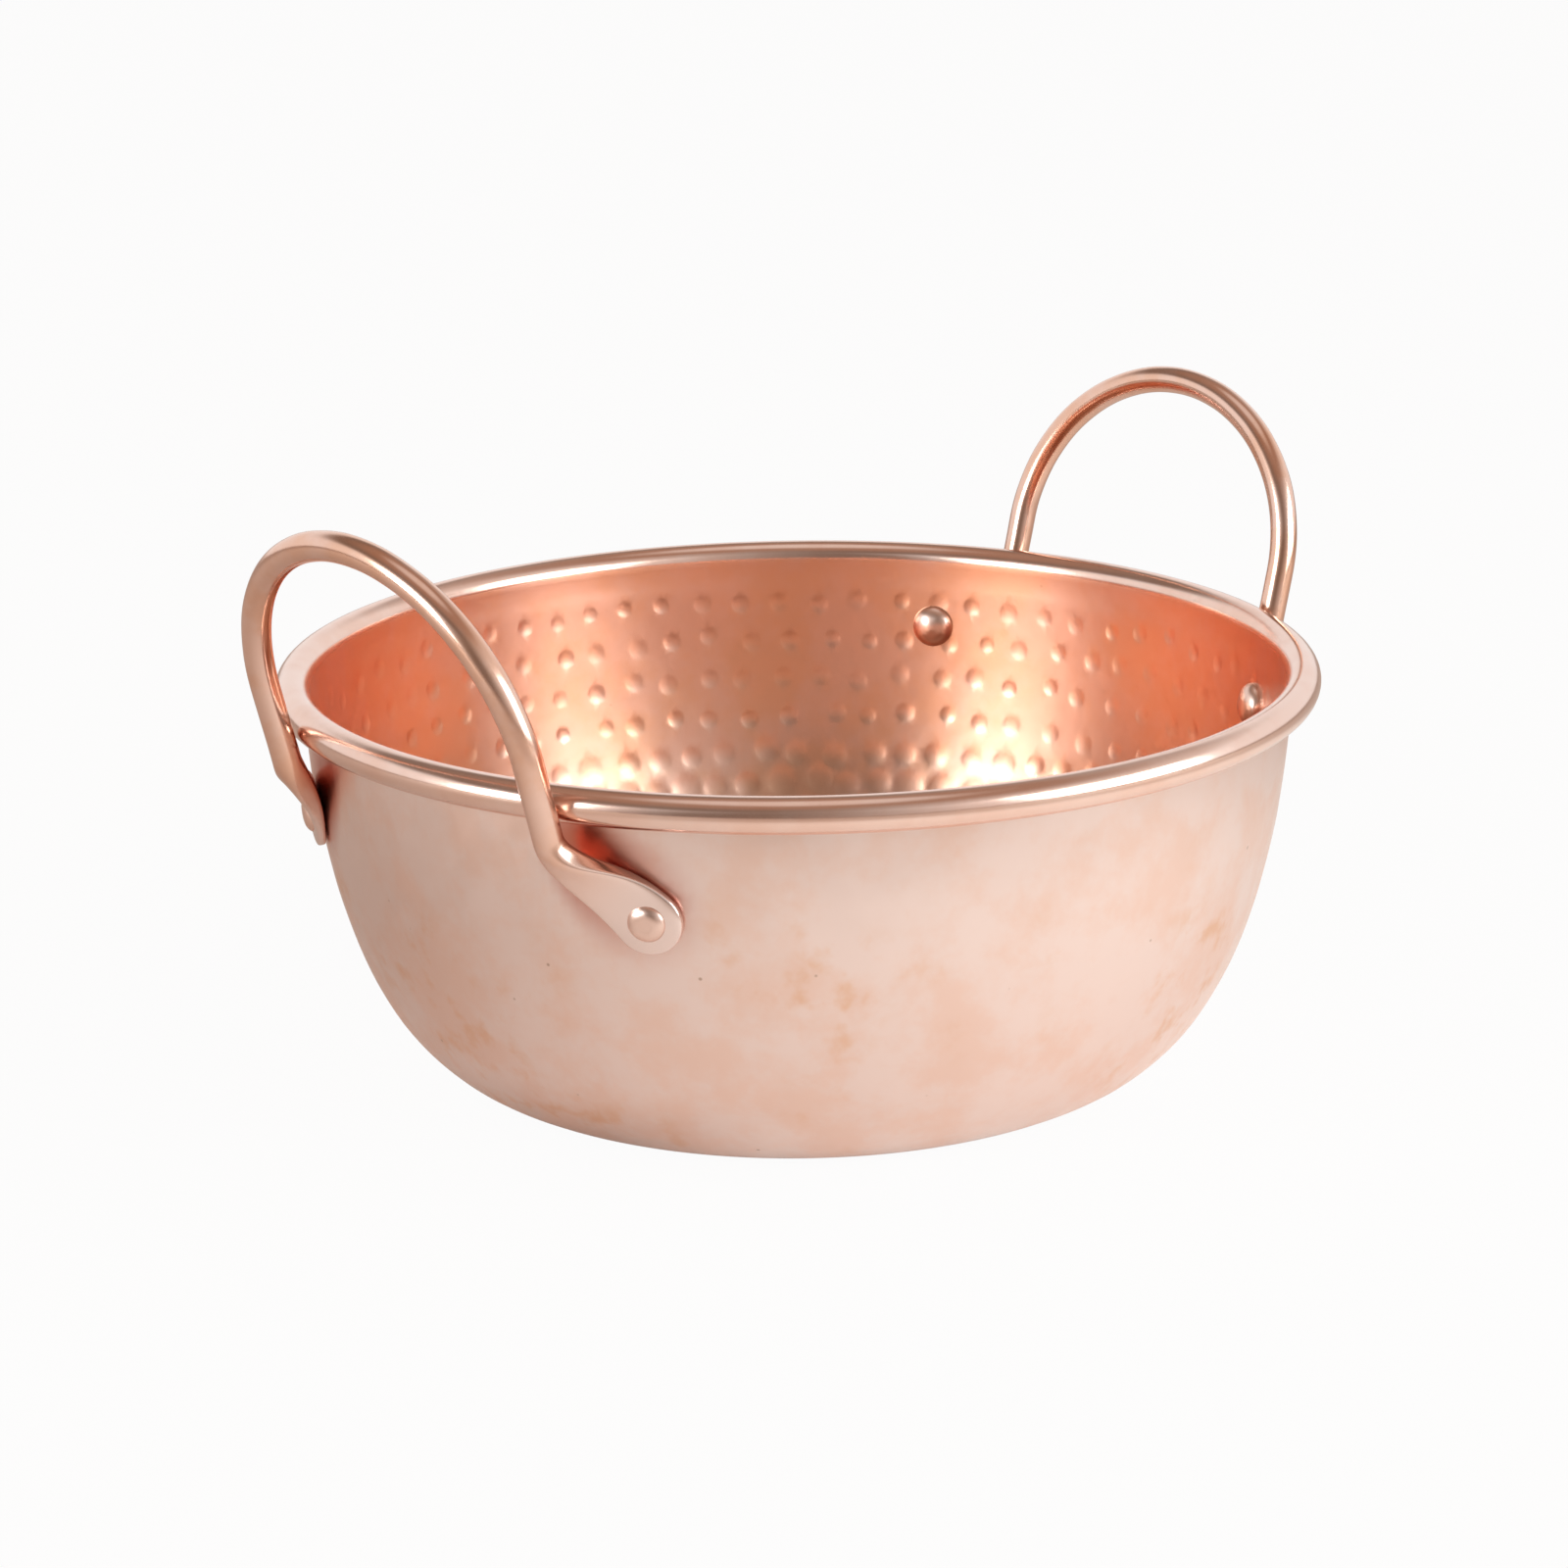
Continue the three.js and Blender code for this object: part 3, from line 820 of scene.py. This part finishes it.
def copper_material(name, clean, warm, tarnish_amount, roughness, haze, wave, tinted="", tint=(1, 1, 1)):
    """Polished bare copper with its own tone, gloss and soft waves, and a tint where a mask says so."""
    material, tree, shader = new_material(name, 1.0)
    tone = place_node(tree, "ShaderNodeGroup", {
        "Clean": (*clean, 1), "Warm": (*warm, 1), "Tarnish": (*settings().finish.tarnish, 1),
        "Tarnish Amount": tarnish_amount,
    }, node_tree=copper_tone_group())
    marks = place_node(tree, "ShaderNodeGroup", {"Grain": COPPER_GRAIN}, node_tree=polish_marks_group())
    dull = math_node(tree, "MULTIPLY_ADD", tone.outputs["Dullness"], haze, roughness)
    rough = math_node(tree, "MULTIPLY_ADD", marks.outputs["Haze"], haze, dull)
    raised = place_node(tree, "ShaderNodeBump", {
        "Height": marks.outputs["Height"], "Strength": 1.0, "Distance": wave,
    })
    shade = tone.outputs["Color"]
    # On the bowl's outside the tint is painted shade and reflection in the crevices behind the feet; on
    # the handles it is the paler copper of their flattened feet
    if tinted:
        mask = place_node(tree, "ShaderNodeAttribute", attribute_name=tinted).outputs["Fac"]
        shade = mix_colours(tree, mask, shade, (*tint, 1))
    tree.links.new(shade, shader.inputs["Base Color"])
    tree.links.new(rough, shader.inputs["Roughness"])
    tree.links.new(raised.outputs["Normal"], shader.inputs["Normal"])
    return material


def wire_material():
    """Plain drawn steel wire."""
    material, tree, shader = new_material("drawn_wire", 1.0)
    shader.inputs["Base Color"].default_value = (*settings().finish.wire, 1)
    marks = place_node(tree, "ShaderNodeGroup", {"Grain": WIRE_GRAIN}, node_tree=polish_marks_group())
    rough = math_node(tree, "MULTIPLY_ADD", marks.outputs["Haze"], WIRE_HAZE, WIRE_ROUGHNESS)
    tree.links.new(rough, shader.inputs["Roughness"])
    return material


# Operators

class POT_OT_bowl(bpy.types.Operator):
    """Make the hammered bowl with its rolled rim"""

    bl_idname = "copper_pot.bowl"
    bl_label = "Bowl"

    def execute(self, context):
        bowl, finish = settings().bowl, settings().finish
        outside, rolled = outside_rings(bowl), rolled_rings(bowl)
        points, faces = loft(outside + rolled)
        rim = len(points) - ROUND_SEGMENTS
        inside, triangles = inside_surface(bowl)
        outer_faces = len(faces) + ROUND_SEGMENTS
        points = close_end(np.vstack([points[:rim], inside]), faces, 0, ROUND_SEGMENTS, True)
        faces += [tuple(rim + corner for corner in triangle) for triangle in triangles]
        materials = [
            # The outside's tint is painted shade and reflection in the crevices behind the feet
            copper_material("bowl_outside", finish.clean, finish.warm, tarnish_amount=0.7, roughness=0.29,
                            haze=0.06, wave=0.00003, tinted=CREVICE_SHADE, tint=finish.painted_crevice_shade),
            copper_material("rolled_rim", finish.warm, finish.rod, tarnish_amount=0.3, roughness=0.17,
                            haze=0.03, wave=0.00002),
            copper_material("bowl_inside", finish.inside, finish.warm_inside, tarnish_amount=0.3,
                            roughness=0.28, haze=0.02, wave=0.00002),
        ]
        piece = new_piece("hammered_bowl", points, faces, materials, "bowl_copper", "bowl")
        finishes = np.zeros(len(faces), int)
        finishes[len(outside) * ROUND_SEGMENTS:outer_faces - ROUND_SEGMENTS] = 1
        finishes[outer_faces:] = 2
        piece.data.polygons.foreach_set("material_index", finishes)
        outer = np.arange(len(points)) < rim
        # The mask of the painted crevice shade, on the outer wall only
        add_mask(piece, CREVICE_SHADE, np.where(outer, crevice_shades(settings(), points), 0))
        return {"FINISHED"}


class POT_OT_rim_wire(bpy.types.Operator):
    """Finish the wire that lies hidden in the rolled rim"""

    bl_idname = "copper_pot.rim_wire"
    bl_label = "Rim wire"

    def execute(self, context):
        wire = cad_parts["rim_wire"]
        wire.data.materials.clear()
        wire.data.materials.append(wire_material())
        return {"FINISHED"}


class POT_OT_handles(bpy.types.Operator):
    """Make the two loop handles with their flattened feet"""

    bl_idname = "copper_pot.handles"
    bl_label = "Handles"

    def execute(self, context):
        pot = settings()
        material = copper_material(
            "handle_rod", pot.finish.rod, pot.finish.warm_rod, tarnish_amount=0.25, roughness=0.18,
            haze=0.025, wave=0.00003, tinted=FLATTENED, tint=pot.finish.clean,
        )
        for side, heading, drop in side_facts(pot.handles):
            rings, flats = handle_rings(pot.bowl, pot.handles, pot.rivets.seat, drop)
            points, faces = closed_loft(rings)
            points = turned_about_z(points, heading)
            loop = new_piece(f"{side}_loop", points, faces, [material], "handle_copper", f"{side}_handle")
            tips = [flats[0], flats[-1]]
            add_mask(loop, FLATTENED, np.concatenate([np.repeat(flats, ROD_SIDES), tips]))
        return {"FINISHED"}


class POT_OT_rivets(bpy.types.Operator):
    """Make the four rivets that hold the handles"""

    bl_idname = "copper_pot.rivets"
    bl_label = "Rivets"

    def execute(self, context):
        pot = settings()
        material = copper_material(
            "rivet_head", pot.finish.warm, pot.finish.rod, tarnish_amount=0.35, roughness=0.28,
            haze=0.04, wave=0.00003,
        )
        for side, heading, drop in side_facts(pot.handles):
            for sign in (1, -1):
                rings = rivet_rings(pot.bowl, pot.handles, pot.rivets, sign, drop)
                points, faces = closed_loft(rings)
                points = turned_about_z(points, heading)
                end = "front" if points[:, 1].mean() < 0 else "back"
                name = f"{side}_{end}_rivet"
                new_piece(f"{name}_head", points, faces, [material], "rivet_copper", name)
        return {"FINISHED"}


# The stage

CAMERA_AZIMUTH = math.radians(-43.2)
CAMERA_ELEVATION = math.radians(17.51)
CAMERA_ROLL = math.radians(-0.75)
CAMERA_DISTANCE = 0.7129
CAMERA_AIM = Vector((0, 0, 0.038))
FRAME_PIXELS = 1600
AIM_PIXEL = (815.1, 862.4)  # where the aim falls in the frame
FOCAL_PIXELS = 3719
SENSOR = 36
MIRROR_BOUNCES = 12  # light goes round inside the pot and behind the feet many times
LIT_HEADING = 60  # where the floor is brightest, in degrees to the right of the camera
LIT_FLOOR = (-0.15, 0.22)  # from where to where, along that heading, the floor gets brighter
LIT_REACH = (0.32, 0.17)  # distances from the pot's axis between which that light fades in
CONTACT_SHADE = (0.066, 0.088)  # distances between which it fades out again on the pot's shaded side
SHADED_SIDE = (-0.02, 0.04)  # from where to where, along that heading, the shaded side ends
LIT_COLOUR = (0.86, 0.98, 1.0, 1)
FLOOR_REACH = 6.0
FLOOR_DROP = 0.0002  # keeps the floor clear of the pot's base
# The soft boxes: degrees to the right of the camera and up, metres from the aim, and their size
KEY_BOX = {"heading": 68, "rise": 19, "distance": 0.75, "width": 0.56, "height": 0.40}
FILL_BOX = {"heading": -58, "rise": 16, "distance": 0.95, "width": 0.44, "height": 0.38}
BOX_COLOUR = (0.84, 0.96, 1.0)
HORIZON = (0.88, 0.87, 0.86, 1)
BRIGHT_SIDE = (0.80, 0.75, 0.71, 1)
DARK_SIDE = (0.24, 0.19, 0.16, 1)
OVERHEAD = (0.42, 0.28, 0.21, 1)
ZENITH = (0.84, 0.78, 0.74, 1)
# Where the studio's zones meet, as the part of a direction that goes towards the camera, right or up
HORIZON_AHEAD = (0.92, 0.45)
HORIZON_RISE = (0.62, 0.42)
SIDE_TO_SIDE = (-0.2, 0.8)
OVERHEAD_RISE = (0.65, 0.9)
ZENITH_RISE = (0.92, 0.99)


def stage_axes():
    """Level directions towards the camera and to its right."""
    toward = Vector((math.sin(CAMERA_AZIMUTH), -math.cos(CAMERA_AZIMUTH), 0))
    right = Vector((math.cos(CAMERA_AZIMUTH), math.sin(CAMERA_AZIMUTH), 0))
    return toward, right


def dot_product(tree, vector, way):
    made = place_node(tree, "ShaderNodeVectorMath", {0: vector, 1: way}, operation="DOT_PRODUCT")
    return made.outputs["Value"]


def add_camera():
    toward, right = stage_axes()
    back = toward * math.cos(CAMERA_ELEVATION) + Vector((0, 0, math.sin(CAMERA_ELEVATION)))
    up = Vector((0, 0, math.cos(CAMERA_ELEVATION))) - toward * math.sin(CAMERA_ELEVATION)
    yaw = math.atan((AIM_PIXEL[0] - FRAME_PIXELS / 2) / FOCAL_PIXELS)
    pitch = math.atan((AIM_PIXEL[1] - FRAME_PIXELS / 2) / FOCAL_PIXELS * math.cos(yaw))
    facing = Matrix((right, up, back)).transposed()
    facing = facing @ Matrix.Rotation(yaw, 3, "Y") @ Matrix.Rotation(pitch, 3, "X")
    facing = facing @ Matrix.Rotation(CAMERA_ROLL, 3, "Z")
    data = bpy.data.cameras.new("camera")
    data.sensor_width = SENSOR
    data.lens = FOCAL_PIXELS / FRAME_PIXELS * SENSOR
    camera = bpy.data.objects.new("camera", data)
    camera.matrix_world = Matrix.Translation(CAMERA_AIM + back * CAMERA_DISTANCE) @ facing.to_4x4()
    bpy.context.scene.collection.objects.link(camera)
    bpy.context.scene.camera = camera


def level_way(heading):
    """A level direction, in degrees to the right of the camera."""
    toward, right = stage_axes()
    return toward * math.cos(math.radians(heading)) + right * math.sin(math.radians(heading))


def add_soft_box(name, power, heading, rise, distance, width, height):
    """A soft box that faces the pot."""
    rise = math.radians(rise)
    way = level_way(heading) * math.cos(rise) + Vector((0, 0, math.sin(rise)))
    data = bpy.data.lights.new(name, "AREA")
    data.shape = "RECTANGLE"
    data.size, data.size_y = width, height
    data.energy = power
    data.color = BOX_COLOUR
    light = bpy.data.objects.new(name, data)
    light.location = CAMERA_AIM + way * distance
    light.rotation_euler = way.to_track_quat("Z", "Y").to_euler()
    light.visible_camera = False
    bpy.context.scene.collection.objects.link(light)


def ray_kinds(tree):
    """Whether a ray comes straight from the camera, and whether it comes from a mirroring surface."""
    path = place_node(tree, "ShaderNodeLightPath").outputs
    mirrored = math_node(tree, "ADD", path["Is Glossy Ray"], path["Is Transmission Ray"])
    return path["Is Camera Ray"], mirrored


def add_world():
    """A studio that is white behind the pot, darker overhead and in front, and paler straight above."""
    world = bpy.data.worlds.new("studio")
    bpy.context.scene.world = world
    world.use_nodes = True
    tree = world.node_tree
    tree.nodes.clear()
    way = place_node(tree, "ShaderNodeTexCoord").outputs["Generated"]
    rise = place_node(tree, "ShaderNodeSeparateXYZ", {0: way}).outputs["Z"]
    toward, right = stage_axes()
    ahead = dot_product(tree, way, toward)
    aside = dot_product(tree, way, right)
    band = remap(tree, ahead, *HORIZON_AHEAD)
    band = math_node(tree, "MULTIPLY", band, remap(tree, rise, *HORIZON_RISE))
    room = mix_colours(tree, remap(tree, aside, *SIDE_TO_SIDE), DARK_SIDE, BRIGHT_SIDE)
    room = mix_colours(tree, remap(tree, rise, *OVERHEAD_RISE), room, OVERHEAD)
    room = mix_colours(tree, remap(tree, rise, *ZENITH_RISE), room, ZENITH)
    studio = mix_colours(tree, band, room, HORIZON)
    light = place_node(tree, "ShaderNodeBackground", {"Color": studio, "Strength": 1.0})
    white = place_node(tree, "ShaderNodeBackground", {"Color": (1, 1, 1, 1), "Strength": 1.0})
    in_picture, mirrored = ray_kinds(tree)
    shown = math_node(tree, "MULTIPLY_ADD", mirrored, band, in_picture, clamp=True)
    mixed = place_node(tree, "ShaderNodeMixShader", {0: shown, 1: light.outputs[0], 2: white.outputs[0]})
    place_node(tree, "ShaderNodeOutputWorld", {"Surface": mixed.outputs[0]})


def add_floor(stage):
    mesh = bpy.data.meshes.new("floor")
    corners = ((-1, -1), (1, -1), (1, 1), (-1, 1))
    mesh.from_pydata([(x * FLOOR_REACH, y * FLOOR_REACH, 0) for x, y in corners], [], [(0, 1, 2, 3)])
    material, tree, shader = new_material("pale_floor", 0.0)
    shader.inputs["Base Color"].default_value = (*stage.floor, 1)
    shader.inputs["Roughness"].default_value = 1.0
    shader.inputs["Specular IOR Level"].default_value = 0.0
    in_picture, mirrored = ray_kinds(tree)
    spot = place_node(tree, "ShaderNodeNewGeometry").outputs["Position"]
    litward = dot_product(tree, spot, level_way(LIT_HEADING))
    lit = remap(tree, litward, *LIT_FLOOR, 0.0, stage.floor_glow)
    away = place_node(tree, "ShaderNodeVectorMath", {0: spot}, operation="LENGTH").outputs["Value"]
    lit = math_node(tree, "MULTIPLY", lit, remap(tree, away, *LIT_REACH))
    clear = remap(tree, away, *CONTACT_SHADE)
    clear = math_node(tree, "MAXIMUM", clear, remap(tree, litward, *SHADED_SIDE))
    lit = math_node(tree, "MULTIPLY", lit, clear)
    glow = place_node(tree, "ShaderNodeEmission", {
        "Color": LIT_COLOUR, "Strength": math_node(tree, "MULTIPLY", mirrored, lit),
    })
    ground = place_node(tree, "ShaderNodeAddShader", {0: shader.outputs[0], 1: glow.outputs[0]})
    white = place_node(tree, "ShaderNodeEmission", {"Color": (1, 1, 1, 1), "Strength": 1.0})
    seen = math_node(tree, "MULTIPLY", in_picture, stage.floor_white)
    mixed = place_node(tree, "ShaderNodeMixShader", {0: seen, 1: ground.outputs[0], 2: white.outputs[0]})
    tree.links.new(mixed.outputs[0], tree.nodes["Material Output"].inputs["Surface"])
    mesh.materials.append(material)
    floor = bpy.data.objects.new("floor", mesh)
    floor.location.z = -FLOOR_DROP
    bpy.context.scene.collection.objects.link(floor)


class POT_OT_stage(bpy.types.Operator):
    """Set the pot on a pale floor with soft light and the picture's camera"""

    bl_idname = "copper_pot.stage"
    bl_label = "Stage"

    def execute(self, context):
        stage = settings().stage
        add_camera()
        add_world()
        add_floor(stage)
        add_soft_box("key_box", stage.key_power, **KEY_BOX)
        add_soft_box("fill_box", stage.fill_power, **FILL_BOX)
        context.scene.view_settings.view_transform = "Standard"
        context.scene.cycles.glossy_bounces = MIRROR_BOUNCES
        return {"FINISHED"}


class POT_PT_panel(bpy.types.Panel):
    bl_idname = "POT_PT_panel"
    bl_label = "Copper pot"
    bl_space_type = "VIEW_3D"
    bl_region_type = "UI"
    bl_category = "Pot"

    def draw(self, context):
        for operator in OPERATORS:
            self.layout.operator(operator.bl_idname)


OPERATORS = (POT_OT_stage, POT_OT_bowl, POT_OT_rim_wire, POT_OT_handles, POT_OT_rivets)
GROUPS = (BowlSizes, HandleSizes, RivetSizes, CopperFinish, StageSettings, PotSettings)
CLASSES = GROUPS + OPERATORS + (POT_PT_panel,)


def register():
    for cls in CLASSES:
        bpy.utils.register_class(cls)
    bpy.types.Scene.copper_pot = PointerProperty(type=PotSettings)


def unregister():
    del bpy.types.Scene.copper_pot
    for cls in reversed(CLASSES):
        bpy.utils.unregister_class(cls)


def main():
    register()
    bpy.ops.copper_pot.stage()
    bpy.ops.copper_pot.bowl()
    bpy.ops.copper_pot.rim_wire()
    bpy.ops.copper_pot.handles()
    bpy.ops.copper_pot.rivets()


if __name__ == "__main__":
    main()
